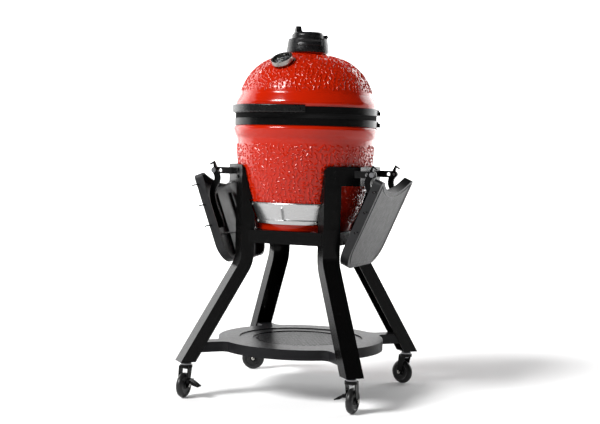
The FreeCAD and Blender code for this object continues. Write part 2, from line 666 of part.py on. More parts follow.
def caster_fork(braked):
    """Crown with a running bore on the stem, two arms, and the axle riveted through them."""
    crown = Part.makeCylinder(18, CROWN[1] - CROWN[0], vec(0, 0, CROWN[0]))
    crown = crown.fuse(box(-6, 16, -ARM_OUT, ARM_OUT, CROWN[0], CROWN[1] - 2))
    arms = []
    for y0, y1 in ((-ARM_OUT, -ARM_IN), (ARM_IN, ARM_OUT)):
        outline = [(-9, CROWN[1] - 2), (16, CROWN[1] - 2), (TRAIL + 9, AXLE_Z + 2), (TRAIL - 8.5, AXLE_Z)]
        runs = [[outline[i], outline[(i + 1) % 4]] for i in range(4)]
        eye = rod(9, vec(TRAIL, y0, AXLE_Z), vec(TRAIL, y1, AXLE_Z))
        arms.append(side_slab(runs, y0, y1).fuse(eye))
    fork = crown.multiFuse(arms)
    fork = fork.cut(Part.makeCylinder(STEM_R + RUNNING, 30, vec(0, 0, 75)))
    axle = rod(AXLE_R, vec(TRAIL, -17, AXLE_Z), vec(TRAIL, 17, AXLE_Z))
    heads = [rod(6, vec(TRAIL, y, AXLE_Z), vec(TRAIL, y + 2.2, AXLE_Z)) for y in (-17.2, ARM_OUT)]
    axle = axle.multiFuse(heads)
    fork = fork.cut(rod(AXLE_R, vec(TRAIL, -20, AXLE_Z), vec(TRAIL, 20, AXLE_Z)))
    pieces = [fork, axle]
    if braked:
        ears = [box(-1.5, 27, ARM_IN, ARM_OUT, 46, 54)]
        for x0 in (-1.5, 24):
            ears.append(box(x0, x0 + 3, ARM_IN, ARM_OUT + 9, 44, 54))
        pin = rod(2.5, vec(-3, BRAKE_Y, BRAKE_Z), vec(28.5, BRAKE_Y, BRAKE_Z))
        pieces[0] = fork.multiFuse(ears).cut(pin)
        pieces.append(pin)
    return pieces


def brake_lever():
    """Foot lever on the inboard side of a front caster; hinged on the fork's side."""
    outline = [(17.5, 52), (22, 54), (34, 47), (50, 37), (49, 34), (33, 38), (22, 44), (17.5, 46)]
    wire = Part.makePolygon([vec(1.8, y, z) for y, z in outline + outline[:1]])
    lever = Part.Face(wire).extrude(vec(21.9, 0, 0))
    lever = lever.fuse(rod(4.5, vec(1.8, BRAKE_Y, BRAKE_Z), vec(23.7, BRAKE_Y, BRAKE_Z)))
    return lever.cut(rod(2.5 + RUNNING, vec(0, BRAKE_Y, BRAKE_Z), vec(26, BRAKE_Y, BRAKE_Z)))


def caster_wheel():
    """Rubber-tyred wheel with dished sides and a hub that runs on the axle."""
    half = WHEEL_HALF_W
    wheel = Part.makeCylinder(WHEEL_R, 2 * half, vec(TRAIL, -half, AXLE_Z), Y)
    wheel = wheel.makeFillet(7.0, [e for e in wheel.Edges if e.Length > 100 and e.Closed])
    for y0, y1 in ((-half, -half + 4), (half - 4, half)):
        dish = rod(25, vec(TRAIL, y0, AXLE_Z), vec(TRAIL, y1, AXLE_Z))
        wheel = wheel.cut(dish.cut(rod(10, vec(TRAIL, y0, AXLE_Z), vec(TRAIL, y1, AXLE_Z))))
    return wheel.cut(rod(AXLE_R + RUNNING, vec(TRAIL, -half, AXLE_Z), vec(TRAIL, half, AXLE_Z)))


# ---- build ----------------------------------------------------------------------------------
def build_body():
    base = ceramic_base()
    frame = cone_shell(2.5, 4.0, VENT_Z[0], VENT_Z[1], -VENT_HALF_ANGLE, VENT_HALF_ANGLE)
    window = cone_shell(0, 9, 507, 543, -33, -3)
    frame = frame.cut(window)
    guides = []
    for z0, z1, lip_0, lip_1 in ((496, 503, 500, 505), (545, 552, 543, 548)):
        guides.append(cone_shell(3.9, 8.0, z0, z1, -VENT_HALF_ANGLE, VENT_HALF_ANGLE))
        guides.append(cone_shell(6.6, 8.0, lip_0, lip_1, -VENT_HALF_ANGLE, VENT_HALF_ANGLE))
    frame = frame.multiFuse(guides)
    rivets = []
    for angle in (-35.5, 35.5):
        for z, r in ((499.5, 149.5), (548.5, 169.5)):
            shank = rod(2.2, vec(0, -(r - 16), z), vec(0, -(r + 5), z))
            head = button(4.0, 2.4, vec(0, -(r + 4.5), z), -Y)
            rivets.append(spun(shank.fuse(head), angle))
    for rivet in rivets:
        base = base.cut(rivet)
        frame = frame.cut(rivet)
    door = cone_shell(4.4, 6.0, 503.4, 544.6, -36.2, 1.0)
    pull = cone_shell(5.9, 14.0, 508, 540, -0.6, 0.2)
    save("base_shell", base)
    save("draft_frame", frame)
    save("draft_rivets", *rivets)
    save("draft_door", door.fuse(pull))
    save("lower_band", band(RIM_Z - LOWER_BAND_H, LOWER_BAND_H, BAND_T))
    save("base_gasket", ring(204.5, 184, RIM_Z, RIM_Z + GASKET_H))
    save("fire_box", firebox())
    save("charcoal_grate", slotted_disc(123, 566, 572, 16, 7))
    save("fire_ring", turned([(143, 640), (156, 640)], [(158, 705), (144, 705)]))
    save("grate_rack", grate_stand())
    save("heat_deflector", Part.makeCylinder(125, 12, vec(0, 0, 710.6)))
    save("cooking_grate", rod_grate(777.4, 3.0, 3.2, 21.0))


def build_lid():
    lid_z = RIM_Z + 2 * GASKET_H + LID_GAP
    stem = thermo_placed(Part.makeCylinder(4.0, 60, vec(0, 0, -72)))
    hole = thermo_placed(Part.makeCylinder(4.0, 60, vec(0, 0, -74)))
    dome = ceramic_dome(hole)
    save("dome_shell", dome)
    save("upper_band", band(lid_z, UPPER_BAND_H, UPPER_BAND_T))
    save("dome_gasket", ring(204.5, 184, RIM_Z + GASKET_H + LID_GAP, lid_z))
    bar, bolts = handle()
    save("front_handle", bar)
    save("handle_bolts", *bolts)

    # The thermometer in its own frame: rim face at z = 0, stem downwards.
    shell = Part.makeCylinder(THERMO_RIM_R, 15, vec(0, 0, -15))
    shell = shell.makeFillet(3.0, [e for e in shell.Edges if e.Closed and e.CenterOfMass.z < -14])
    shell = shell.cut(Part.makeCylinder(THERMO_RIM_R - 3, 12, vec(0, 0, -12)))
    boss = Part.makeCylinder(9, 4, vec(0, 0, -19))
    shell = shell.fuse(boss).cut(Part.makeCylinder(4.0, 30, vec(0, 0, -25)))
    save("thermometer_case", thermo_placed(shell).cut(dome))
    save("thermometer_dial", thermo_placed(ring(THERMO_RIM_R - 3, 1.5 + RUNNING, -12, -10.4)))
    save("thermometer_lens", thermo_placed(Part.makeCylinder(THERMO_RIM_R - 3, 2, vec(0, 0, -4))))
    hub = Part.makeCylinder(3.2, 1.4, vec(0, 0, -8.8)).fuse(Part.makeCylinder(1.5, 4, vec(0, 0, -11.7)))
    hand = box(-6, 22, -1.1, 1.1, -8.6, -7.6).fuse(hub)
    save("thermometer_needle", thermo_placed(spun(hand, -115)))
    save("thermometer_stem", stem)

    chimney, cap, dial, pin = top_vent()
    save("chimney_ring", chimney, pin)
    save("vent_cap", cap)
    save("vent_dial", dial)
    save("hinge_upper_bracket", hinge_bracket(False))
    save("hinge_lower_bracket", hinge_bracket(True))
    save("hinge_pin", hinge_pin())
    save("hinge_springs", *hinge_springs())


def build_cart():
    clear = base_solid(3.0).fuse(cone_shell(-2, 11, 488, 561, -44, 44))
    legs = four_ways(leg(clear))
    for corner, shape in legs.items():
        save("leg_" + corner, shape)
    plate = side_plate(clear)
    plates = {"right": plate, "left": flipped(plate, X)}
    for side, shape in plates.items():
        save("side_plate_" + side, shape)
    front = rail([legs["front_left"], legs["front_right"]])
    save("lower_rails", *[spun(front, angle) for angle in (0, 90, 180, 270)])
    save("bottom_tray", tray())
    bolts = []
    for z in (625.0, 645.0):
        head = spun(button(5.0, 3.0, vec(LEG_R + SHEET, 8, z), X), -45)
        bolts += list(four_ways(head).values())
    save("plate_bolts", *bolts)
    return plate


def build_shelves(plate):
    panel = shelf_panel()
    struts = shelf_struts()
    pegs = shelf_pegs()
    arms = shelf_arms(plate)
    pins = shelf_pins()
    for side in SHELF_TILT:
        save("shelf_panel_" + side, hung(panel, side))
        save("shelf_struts_" + side, *[hung(strut, side) for strut in struts])
        save("shelf_pegs_" + side, *[hung(peg, side) for peg in pegs])
    save("shelf_arms_right", *arms)
    save("shelf_arms_left", *[flipped(s, X) for s in arms])
    save("shelf_pins", *(pins + [flipped(s, X) for s in pins]))


def build_casters():
    stems = []
    for corner in CASTER_AZIMUTH:
        stems.append(caster_place(caster_stem(), corner))
        braked = corner in BRAKED
        fork = caster_fork(braked)
        save("caster_fork_" + corner, *[caster_place(s, corner) for s in fork])
        save("caster_wheel_" + corner, caster_place(caster_wheel(), corner))
        if braked:
            save("brake_lever_" + corner, caster_place(brake_lever(), corner))
    save("caster_stems", *stems)


os.makedirs("parts", exist_ok=True)
build_body()
build_lid()
right_plate = build_cart()
build_shelves(right_plate)
build_casters()
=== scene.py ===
import json
import math

import bpy
import numpy as np
from mathutils import Matrix, Vector


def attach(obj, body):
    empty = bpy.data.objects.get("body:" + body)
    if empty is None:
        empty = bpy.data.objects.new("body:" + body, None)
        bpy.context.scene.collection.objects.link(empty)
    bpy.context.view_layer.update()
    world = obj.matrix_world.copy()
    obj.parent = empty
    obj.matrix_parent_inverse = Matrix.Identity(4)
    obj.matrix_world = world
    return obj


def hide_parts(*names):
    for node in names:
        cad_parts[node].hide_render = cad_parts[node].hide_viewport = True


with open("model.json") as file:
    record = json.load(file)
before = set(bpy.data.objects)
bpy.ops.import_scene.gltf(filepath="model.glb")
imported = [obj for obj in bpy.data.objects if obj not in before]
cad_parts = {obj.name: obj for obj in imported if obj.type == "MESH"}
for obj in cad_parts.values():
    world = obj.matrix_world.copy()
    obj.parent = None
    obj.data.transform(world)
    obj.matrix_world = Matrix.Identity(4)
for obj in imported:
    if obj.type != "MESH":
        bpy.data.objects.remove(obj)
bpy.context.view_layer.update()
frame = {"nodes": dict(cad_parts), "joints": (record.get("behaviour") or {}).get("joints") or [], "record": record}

# Metres, except where a comment says millimetres. +Z is up and -Y is the front.
MM = 0.001
CORNERS = ("front_left", "front_right", "back_right", "back_left")
UP = Vector((0, 0, 1))


# ---- materials ------------------------------------------------------------------------------
class Surface:
    """A procedural material: a Principled shader with its object-space texture nodes."""

    def __init__(self, name, color, roughness, metallic=0.0):
        self.material = bpy.data.materials.new(name)
        self.material.use_nodes = True
        self.nodes = self.material.node_tree.nodes
        self.links = self.material.node_tree.links
        self.shader = self.nodes["Principled BSDF"]
        self.set("Base Color", (*color, 1.0))
        self.set("Roughness", roughness)
        self.set("Metallic", metallic)
        self.color = color
        self.roughness = roughness
        self.coords = self.nodes.new("ShaderNodeTexCoord").outputs["Object"]
        self.bump_out = None

    def set(self, socket, value):
        self.shader.inputs[socket].default_value = value
        return self

    def scaled(self, stretch):
        """Object coordinates stretched along X, Y and Z."""
        mapping = self.nodes.new("ShaderNodeMapping")
        mapping.inputs["Scale"].default_value = stretch
        self.links.new(self.coords, mapping.inputs["Vector"])
        return mapping.outputs["Vector"]

    def noise(self, scale, detail=3.0, stretch=(1, 1, 1)):
        texture = self.nodes.new("ShaderNodeTexNoise")
        texture.inputs["Scale"].default_value = scale
        texture.inputs["Detail"].default_value = detail
        self.links.new(self.scaled(stretch), texture.inputs["Vector"])
        return texture.outputs["Fac"]

    def spread(self, source, low, high):
        """A noise value, nearly all of which lies between 0.3 and 0.7, stretched to a range."""
        remap = self.nodes.new("ShaderNodeMapRange")
        remap.inputs["From Min"].default_value = 0.3
        remap.inputs["From Max"].default_value = 0.7
        remap.inputs["To Min"].default_value = low
        remap.inputs["To Max"].default_value = high
        self.links.new(source, remap.inputs["Value"])
        return remap.outputs["Result"]

    def vary_color(self, scale, amount, detail=3.0, stretch=(1, 1, 1)):
        """Lighter and darker patches."""
        ramp = self.nodes.new("ShaderNodeMix")
        ramp.data_type = "RGBA"
        dark = [c * (1 - amount) for c in self.color]
        light = [min(1.0, c * (1 + amount)) for c in self.color]
        ramp.inputs["A"].default_value = (*dark, 1.0)
        ramp.inputs["B"].default_value = (*light, 1.0)
        self.links.new(self.noise(scale, detail, stretch), ramp.inputs["Factor"])
        self.links.new(ramp.outputs["Result"], self.shader.inputs["Base Color"])
        return self

    def vary_roughness(self, scale, amount, detail=3.0, stretch=(1, 1, 1)):
        value = self.noise(scale, detail, stretch)
        low, high = self.roughness - amount, self.roughness + amount
        self.links.new(self.spread(value, max(0.02, low), high), self.shader.inputs["Roughness"])
        return self

    def relief(self, source, height):
        """Adds a bump of some height, in metres, on top of those already there."""
        bump = self.nodes.new("ShaderNodeBump")
        bump.inputs["Distance"].default_value = height
        self.links.new(source, bump.inputs["Height"])
        if self.bump_out:
            self.links.new(self.bump_out, bump.inputs["Normal"])
        self.bump_out = bump.outputs["Normal"]
        self.links.new(self.bump_out, self.shader.inputs["Normal"])
        return self


def powder_coat(name, color, roughness):
    coat = Surface(name, color, roughness).set("Specular IOR Level", 0.10)
    coat.vary_color(60, 0.10).vary_roughness(90, 0.03)
    return coat.relief(coat.noise(900, 2.0), 0.00008)


def brushed(name, color, roughness, along=(1, 1, 1)):
    metal = Surface(name, color, roughness, 1.0)
    metal.vary_color(30, 0.06, 4.0, along).vary_roughness(220, 0.08, 4.0, along)
    return metal.relief(metal.noise(700, 3.0, along), 0.00004)


def moulded_plastic(name, color, roughness):
    plastic = Surface(name, color, roughness)
    plastic.set("Specular IOR Level", 0.30)
    plastic.vary_color(50, 0.08).vary_roughness(60, 0.04)
    return plastic.relief(plastic.noise(1400, 2.0), 0.00010)


def glaze(name, color):
    """Deep glossy glaze with faint pooling of the colour."""
    surface = Surface(name, color, 0.14).set("Specular IOR Level", 0.27)
    surface.vary_color(6, 0.10, 4.0).vary_roughness(18, 0.03)
    surface.set("Coat Weight", 0.12).set("Coat Roughness", 0.05)
    return surface.relief(surface.noise(260, 3.0), 0.00012)


def stoneware(name, color):
    stone = Surface(name, color, 0.85)
    stone.vary_color(25, 0.14, 5.0).vary_roughness(60, 0.05)
    return stone.relief(stone.noise(320, 5.0), 0.0004)


def felt(name, color):
    surface = Surface(name, color, 0.95)
    surface.vary_color(220, 0.3, 4.0)
    surface.set("Sheen Weight", 0.03).set("Specular IOR Level", 0.1)
    return surface.relief(surface.noise(1500, 4.0), 0.0004)


def cast_metal(name, color, roughness, metallic=0.0):
    casting = Surface(name, color, roughness, metallic).set("Specular IOR Level", 0.3)
    casting.vary_color(40, 0.18, 4.0).vary_roughness(90, 0.08)
    return casting.relief(casting.noise(650, 4.0), 0.00022)


def clear_glass(name):
    lens = Surface(name, (1.0, 1.0, 1.0), 0.04)
    lens.set("Transmission Weight", 1.0).set("IOR", 1.25)
    return lens.relief(lens.noise(60, 1.0), 0.00001)


RED_GLAZE = glaze("red_glaze", (0.43, 0.012, 0.001))
FIREBRICK = stoneware("firebrick", (0.60, 0.53, 0.43))
FELT = felt("felt", (0.008, 0.008, 0.008))
BLACK_STEEL = powder_coat("black_steel", (0.0025, 0.0025, 0.0025), 0.24)
ARM_STEEL = powder_coat("arm_steel", (0.008, 0.008, 0.008), 0.30)
VENT_METAL = cast_metal("vent_metal", (0.007, 0.007, 0.0075), 0.30)
STAINLESS = brushed("stainless", (0.50, 0.50, 0.50), 0.30, (1, 1, 12))
BRIGHT_STEEL = brushed("bright_steel", (0.33, 0.32, 0.30), 0.24)
ZINC_STEEL = brushed("zinc_steel", (0.24, 0.24, 0.25), 0.34)
GRATE_IRON = cast_metal("grate_iron", (0.03, 0.03, 0.03), 0.75)
GRATE_STEEL = brushed("grate_steel", (0.55, 0.55, 0.55), 0.30)
SHELF_PLASTIC = moulded_plastic("shelf_plastic", (0.010, 0.010, 0.011), 0.42)
TRAY_STEEL = powder_coat("tray_steel", (0.010, 0.010, 0.011), 0.34)
HANDLE_BLACK = moulded_plastic("handle_black", (0.004, 0.004, 0.004), 0.27)
DIAL_FACE = powder_coat("dial_face", (0.055, 0.057, 0.060), 0.40)
NEEDLE_PAINT = powder_coat("needle_paint", (0.42, 0.42, 0.40), 0.4)
LENS = clear_glass("lens")
TYRE = moulded_plastic("tyre_rubber", (0.012, 0.012, 0.012), 0.34)

BY_SLOT = {
    "red_glaze": RED_GLAZE, "firebrick": FIREBRICK, "felt": FELT, "black_steel": BLACK_STEEL,
    "vent_casting": VENT_METAL, "stainless": STAINLESS, "bright_steel": BRIGHT_STEEL,
    "zinc_steel": ZINC_STEEL, "grate_iron": GRATE_IRON, "grate_steel": GRATE_STEEL,
    "shelf_plastic": SHELF_PLASTIC, "tray_steel": TRAY_STEEL, "handle_black": HANDLE_BLACK,
    "dial_face": DIAL_FACE, "dial_needle": NEEDLE_PAINT, "lens": LENS, "tyre": TYRE,
    "arm_steel": ARM_STEEL,
}

# Edge rounding of the CAD nodes in millimetres, by the start of the node's name.
EDGE_WIDTH = {
    "leg": 0.7, "side_plate": 0.8, "lower_rails": 0.8, "bottom_tray": 1.6, "shelf_panel": 2.0,
    "shelf_struts": 1.2, "shelf_arms": 0.9, "caster_fork": 0.7, "chimney_ring": 0.9, "vent_dial": 0.8,
    "front_handle": 0.8, "hinge_lower_bracket": 0.7, "hinge_upper_bracket": 0.7, "lower_band": 0.5,
    "upper_band": 0.5, "fire_box": 2.0, "fire_ring": 2.0, "heat_deflector": 1.5, "brake_lever": 0.7,
    "thermometer_case": 0.5, "draft_door": 0.3, "draft_frame": 0.3,
}


# ---- helpers --------------------------------------------------------------------------------
def give(obj, surface):
    """Puts one material on a whole object."""
    obj.data.materials.clear()
    obj.data.materials.append(surface.material)
    return obj


def soften(obj, width):
    """Rounds the edges of an object that are sharper than 35 degrees."""
    bevel = obj.modifiers.new("edges", "BEVEL")
    bevel.width = width
    bevel.segments = 2
    bevel.limit_method = "ANGLE"
    bevel.angle_limit = math.radians(35)
    bevel.harden_normals = True


def mesh_object(name, vertices, faces, smooth=True):
    mesh = bpy.data.meshes.new(name)
    mesh.from_pydata(vertices, [], faces)
    if smooth:
        mesh.shade_smooth()
    else:
        mesh.shade_flat()
    obj = bpy.data.objects.new(name, mesh)
    bpy.context.scene.collection.objects.link(obj)
    return obj


def joint_place(name):
    """Point and direction of a joint."""
    joint = next(j for j in frame["joints"] if j["name"] == name)
    return Vector(joint["pos_m"]), Vector(joint["axis"]).normalized()


def full_turn(name):
    """The far end of a joint's range, in degrees."""
    return next(j for j in frame["joints"] if j["name"] == name)["range_deg"][1]


def node_reach(node, axis):
    """How far a CAD node reaches along a direction."""
    obj = frame["nodes"][node]
    return max((obj.matrix_world @ v.co).dot(axis) for v in obj.data.vertices)


def finish_cad_nodes():
    """Gives every CAD node its slot's material, and rounds the sharp edges of most."""
    slots = {part["node"]: part["material_slot"] for part in frame["record"]["subparts"]}
    for node, obj in frame["nodes"].items():
        give(obj, BY_SLOT[slots[node]])
        for prefix, width in EDGE_WIDTH.items():
            if node.startswith(prefix):
                soften(obj, width * MM)


# ---- glazed ceramic -------------------------------------------------------------------------
GRID = 1.25 * MM          # mesh spacing on the embossed glaze
GRAIN_LENGTH = 12.0 * MM
GRAIN_WIDTH = 3.9 * MM
GRAIN_HEIGHT = 1.9 * MM
GRAIN_PITCH = 11.6 * MM
SMOOTH_STEP = 2.2 * MM    # profile spacing where the glaze is plain
INNER_STEP = 5 * MM       # profile spacing on the inner walls
BAND_SEAT_R = 0.203       # where the steel bands grip the ceramic
INNER_R = 0.183           # mouth of the ceramic, inside


def spline(points, step):
    """Points at about equal steps on a smooth curve through a few given ones."""
    lead = [tuple(2 * a - b for a, b in zip(points[0], points[1]))]
    tail = [tuple(2 * a - b for a, b in zip(points[-1], points[-2]))]
    control = lead + list(points) + tail
    samples = 40
    fine = []
    for p0, p1, p2, p3 in zip(control, control[1:], control[2:], control[3:]):
        for k in range(samples):
            t = k / samples
            weights = (-t + 2 * t ** 2 - t ** 3, 2 - 5 * t ** 2 + 3 * t ** 3, t + 4 * t ** 2 - 3 * t ** 3,
                       t ** 3 - t ** 2)
            fine.append([0.5 * sum(w * p[i] for w, p in zip(weights, (p0, p1, p2, p3))) for i in (0, 1)])
    fine = np.array(fine + [list(points[-1])])
    along = np.concatenate([[0], np.cumsum(np.hypot(*np.diff(fine, axis=0).T))])
    count = max(2, int(round(along[-1] / step)) + 1)
    even = np.linspace(0, along[-1], count)
    return [tuple(row) for row in np.column_stack([np.interp(even, along, fine[:, i]) for i in (0, 1)])]


def round_corner(before, corner, after, radius, steps=4):
    """A rounded corner of a profile, as a short run of points."""
    a, b, c = Vector(before), Vector(corner), Vector(after)
    start = b + (a - b).normalized() * radius
    end = b + (c - b).normalized() * radius
    run = []
    for k in range(steps + 1):
        t = k / steps
        run.append(tuple(start * (1 - t) ** 2 + b * 2 * t * (1 - t) + end * t ** 2))
    return run


def rice_relief(rows, columns, textured, seed, lean):
    """Heights of raised grains over the textured rows, each leaning from upright by up to an angle.

    Grains stand in rings, at steps a little under the pitch up the wall and a little over it round
    the ring, and each is moved at random by up to a part of the step.
    """
    ring_step = 0.86 * GRAIN_PITCH
    grain_step = 1.12 * GRAIN_PITCH
    stray_round, stray_up = 0.3, 0.28
    column_angle = 2 * math.pi / columns
    picks = np.random.RandomState(seed)
    radius = np.array([r for r, z in rows])
    steps = np.hypot(np.diff([r for r, z in rows]), np.diff([z for r, z in rows]))
    along = np.concatenate([[0], np.cumsum(steps)])
    heights = np.zeros((len(rows), columns))
    first, last = textured
    reach = GRAIN_LENGTH / 2 + GRAIN_WIDTH
    for level in np.arange(along[first] + reach * 0.7, along[last] - reach * 0.6, ring_step):
        ring_radius = np.interp(level, along, radius)
        count = int(2 * math.pi * ring_radius / grain_step)
        for k in range(count):
            centre = 2 * math.pi * (k + picks.uniform(-stray_round, stray_round)) / count
            at = level + picks.uniform(-stray_up, stray_up) * GRAIN_PITCH
            turn = math.pi / 2 + picks.uniform(-lean, lean)
            half = GRAIN_LENGTH * picks.uniform(0.36, 0.54) - GRAIN_WIDTH / 2
            near = np.where(np.abs(along - at) < reach)[0]
            span = int(reach / ring_radius / column_angle) + 1
            middle = int(round(centre / column_angle))
            cells = np.arange(middle - span, middle + span + 1)
            across_u = (cells * 2 * math.pi / columns - centre)[None, :] * radius[near][:, None]
            across_v = (along[near] - at)[:, None] + np.zeros_like(across_u)
            length = across_u * math.cos(turn) + across_v * math.sin(turn)
            width = across_v * math.cos(turn) - across_u * math.sin(turn)
            distance = np.hypot(np.maximum(np.abs(length) - half, 0), width) / (GRAIN_WIDTH / 2)
            bump = np.clip(1 - distance ** 2, 0, 1) ** 0.8 * GRAIN_HEIGHT
            block = np.ix_(near, cells % columns)
            heights[block] = np.maximum(heights[block], bump)
    return heights


def turned_mesh(name, rows, columns, heights=None, cap_ends=False, window=None):
    """A surface of revolution, with a relief, and with a window through both walls if one is given."""
    radius = np.array([r for r, z in rows])
    level = np.array([z for r, z in rows])
    slope_r = np.gradient(radius)
    slope_z = np.gradient(level)
    norm = np.hypot(slope_r, slope_z) + 1e-12
    if heights is None:
        heights = np.zeros((len(rows), columns))
    angles = np.arange(columns) * 2 * math.pi / columns - math.pi / 2
    grown = radius[:, None] + heights * (slope_z / norm)[:, None]
    high = level[:, None] - heights * (slope_r / norm)[:, None]
    points = np.stack([grown * np.cos(angles), grown * np.sin(angles), high], axis=-1)
    count = len(rows)
    loops = count - 1 if cap_ends else count
    faces = []
    cut_rows, cut_columns, walls = window if window else ((), (), [])
    for i in range(loops):
        for j in range(columns):
            if i in cut_rows and j in cut_columns:
                continue
            following = (j + 1) % columns
            upper = (i + 1) % count
            faces.append((i * columns + j, i * columns + following, upper * columns + following,
                          upper * columns + j))
    if cap_ends:
        faces.append(tuple(range(columns))[::-1])
        faces.append(tuple((count - 1) * columns + j for j in range(columns)))
    faces += walls
    obj = mesh_object(name, points.reshape(-1, 3).tolist(), faces)
    obj.data.set_sharp_from_angle(angle=math.radians(40))
    return obj


def line_inside(obj, low):
    """Bare ceramic on the faces inside the wall, above a height."""
    mouth, vault_start = INNER_R + 1.5 * MM, 0.87
    obj.data.materials.append(FIREBRICK.material)
    for face in obj.data.polygons:
        x, y, z = face.center
        radius = math.hypot(x, y)
        inwards = face.normal.x * x + face.normal.y * y < -0.2 * radius
        ceiling = face.normal.z < -0.5 and z > vault_start
        if z > low and radius < mouth and (inwards or ceiling):
            face.material_index = 1


def draft_window(columns, outside, inside, half_angle):
    """Rows and columns to leave out for a hole through both walls, and the faces of its four sides."""
    half = int(math.radians(half_angle) / (2 * math.pi / columns))
    outer_sill, outer_head = outside[0], outside[-1] + 1
    inner_head, inner_sill = inside[0], inside[-1] + 1
    walls = []
    for j in range(-half, half):
        here, following = j % columns, (j + 1) % columns
        walls.append((outer_head * columns + here, outer_head * columns + following,
                      inner_head * columns + following, inner_head * columns + here))
        walls.append((outer_sill * columns + following, outer_sill * columns + here,
                      inner_sill * columns + here, inner_sill * columns + following))
    for j, order in ((-half, 1), (half, -1)):
        column = j % columns
        jamb = [i * columns + column for i in range(outer_sill, outer_head + 1)]
        jamb += [i * columns + column for i in range(inner_head, inner_sill + 1)]
        walls.append(tuple(jamb[::order]))
    return set(outside + inside), {j % columns for j in range(-half, half)}, walls


def build_base_glaze():
    """Ceramic base: foot, embossed belly, smooth bulge, band seat, inner wall, and the draft opening."""
    top, seat = 0.7921, 0.780
    draft_low, draft_high, draft_half_angle = 0.5045, 0.5445, 17.7
    textured_r = 0.198
    foot = round_corner((0.120, 0.475), (0.138, 0.475), (0.143, 0.494), 2 * MM)
    belly = spline([(0.143, 0.494), (0.158, 0.527), (0.170, 0.562), (0.184, 0.610), (0.193, 0.650),
                    (0.197, 0.690), (0.1985, 0.725)], GRID)
    bulge = spline([(0.1985, 0.725), (0.2005, 0.736), (0.206, 0.748), (0.210, 0.762), (0.2075, 0.769),
                    (BAND_SEAT_R, 0.772)], SMOOTH_STEP)
    rim = round_corner((BAND_SEAT_R, seat), (BAND_SEAT_R, top), (0.190, top), 1 * MM)
    rim += round_corner((0.190, top), (INNER_R, top), (INNER_R, seat), 2 * MM)
    wall = spline([(INNER_R, 0.760), (0.178, 0.700), (0.170, 0.640), (0.157, 0.580), (0.138, 0.520),
                   (0.124, 0.500)], INNER_STEP)
    rows = foot + belly[1:] + bulge[1:] + rim + wall
    columns = int(2 * math.pi * textured_r / GRID)
    first = len(foot)
    last = len(foot) + len(belly) - 2
    heights = rice_relief(rows, columns, (first + 1, last - 1), seed=7, lean=1.5)
    outside = [i for i in range(first, last) if draft_low <= rows[i][1] and rows[i + 1][1] <= draft_high]
    inside = [i for i in range(last, len(rows) - 1)
              if rows[i + 1][1] >= draft_low and rows[i][1] <= draft_high]
    window = draft_window(columns, outside, inside, draft_half_angle)
    base = turned_mesh("base_glaze", rows, columns, heights, cap_ends=True, window=window)
    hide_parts("base_shell")
    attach(give(base, RED_GLAZE), "stand")
    line_inside(base, 0.50)


def build_dome_glaze():
    """Ceramic dome: chimney neck, embossed cap, smooth flared collar, band seat and inner wall."""
    bottom, seat, flue_r, textured_r = 0.8062, 0.820, 0.042, 0.190
    neck = round_corner((0.045, 0.985), (0.055, 0.985), (0.055, 0.980), 1.5 * MM)
    fillet = spline([(0.055, 0.981), (0.0575, 0.978), (0.064, 0.9765)], 1.5 * MM)
    cap = spline([(0.064, 0.9765), (0.085, 0.971), (0.110, 0.963), (0.131, 0.9515), (0.1575, 0.9285),
                  (0.1742, 0.9055), (0.1858, 0.882), (0.191, 0.863)], GRID)
    collar = spline([(0.191, 0.863), (0.1985, 0.849), (0.2038, 0.838), (0.2042, 0.831),
                     (BAND_SEAT_R, 0.826)], SMOOTH_STEP)
    rim = round_corner((BAND_SEAT_R, seat), (BAND_SEAT_R, bottom), (0.190, bottom), 1 * MM)
    rim += round_corner((0.190, bottom), (INNER_R, bottom), (INNER_R, seat), 2 * MM)
    vault = spline([(INNER_R, 0.830), (0.181, 0.858), (0.168, 0.890), (0.148, 0.918), (0.120, 0.941),
                    (0.085, 0.953), (flue_r, 0.957)], INNER_STEP)
    rows = neck + fillet + cap[1:] + collar[1:] + rim + vault + [(flue_r, 0.970), (flue_r, 0.985)]
    columns = int(2 * math.pi * textured_r / GRID)
    first = len(neck) + len(fillet)
    last = first + len(cap) - 2
    heights = rice_relief(rows, columns, (first, last), seed=11, lean=1.05)
    dome = turned_mesh("dome_glaze", rows[::-1], columns, heights[::-1])
    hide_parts("dome_shell")
    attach(give(dome, RED_GLAZE), "lid")
    line_inside(dome, 0.80)


# ---- casters --------------------------------------------------------------------------------
def build_wheels():
    """Rubber wheels with a rounded tread, a raised hub and a shallow dish between them."""
    half, radius, shoulder, steps = 11 * MM, 35.5 * MM, 9 * MM, 8
    tread = []
    for k in range(steps + 1):
        angle = math.radians(90 - 180 * k / steps)
        tread.append((radius - shoulder + shoulder * math.cos(angle), (half - 1 * MM) * math.sin(angle)))
    side = [(4.1 * MM, half), (9.5 * MM, half), (10.5 * MM, half - 1 * MM), (11.5 * MM, half - 4 * MM),
            (22.0 * MM, half - 3.4 * MM), (24.0 * MM, half - 1.2 * MM)]
    profile = side + tread + [(r, -z) for r, z in side[::-1]]
    for corner in CORNERS:
        place, axle = joint_place("wheel_spin_" + corner)
        wheel = turned_mesh("wheel_" + corner, profile, columns=96)
        turn = UP.rotation_difference(axle).to_matrix().to_4x4()
        wheel.data.transform(Matrix.Translation(place) @ turn)
        if wheel.data.polygons[0].normal.dot(axle) < 0:
            wheel.data.flip_normals()
        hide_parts("caster_wheel_" + corner)
        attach(give(wheel, TYRE), "wheel_" + corner)


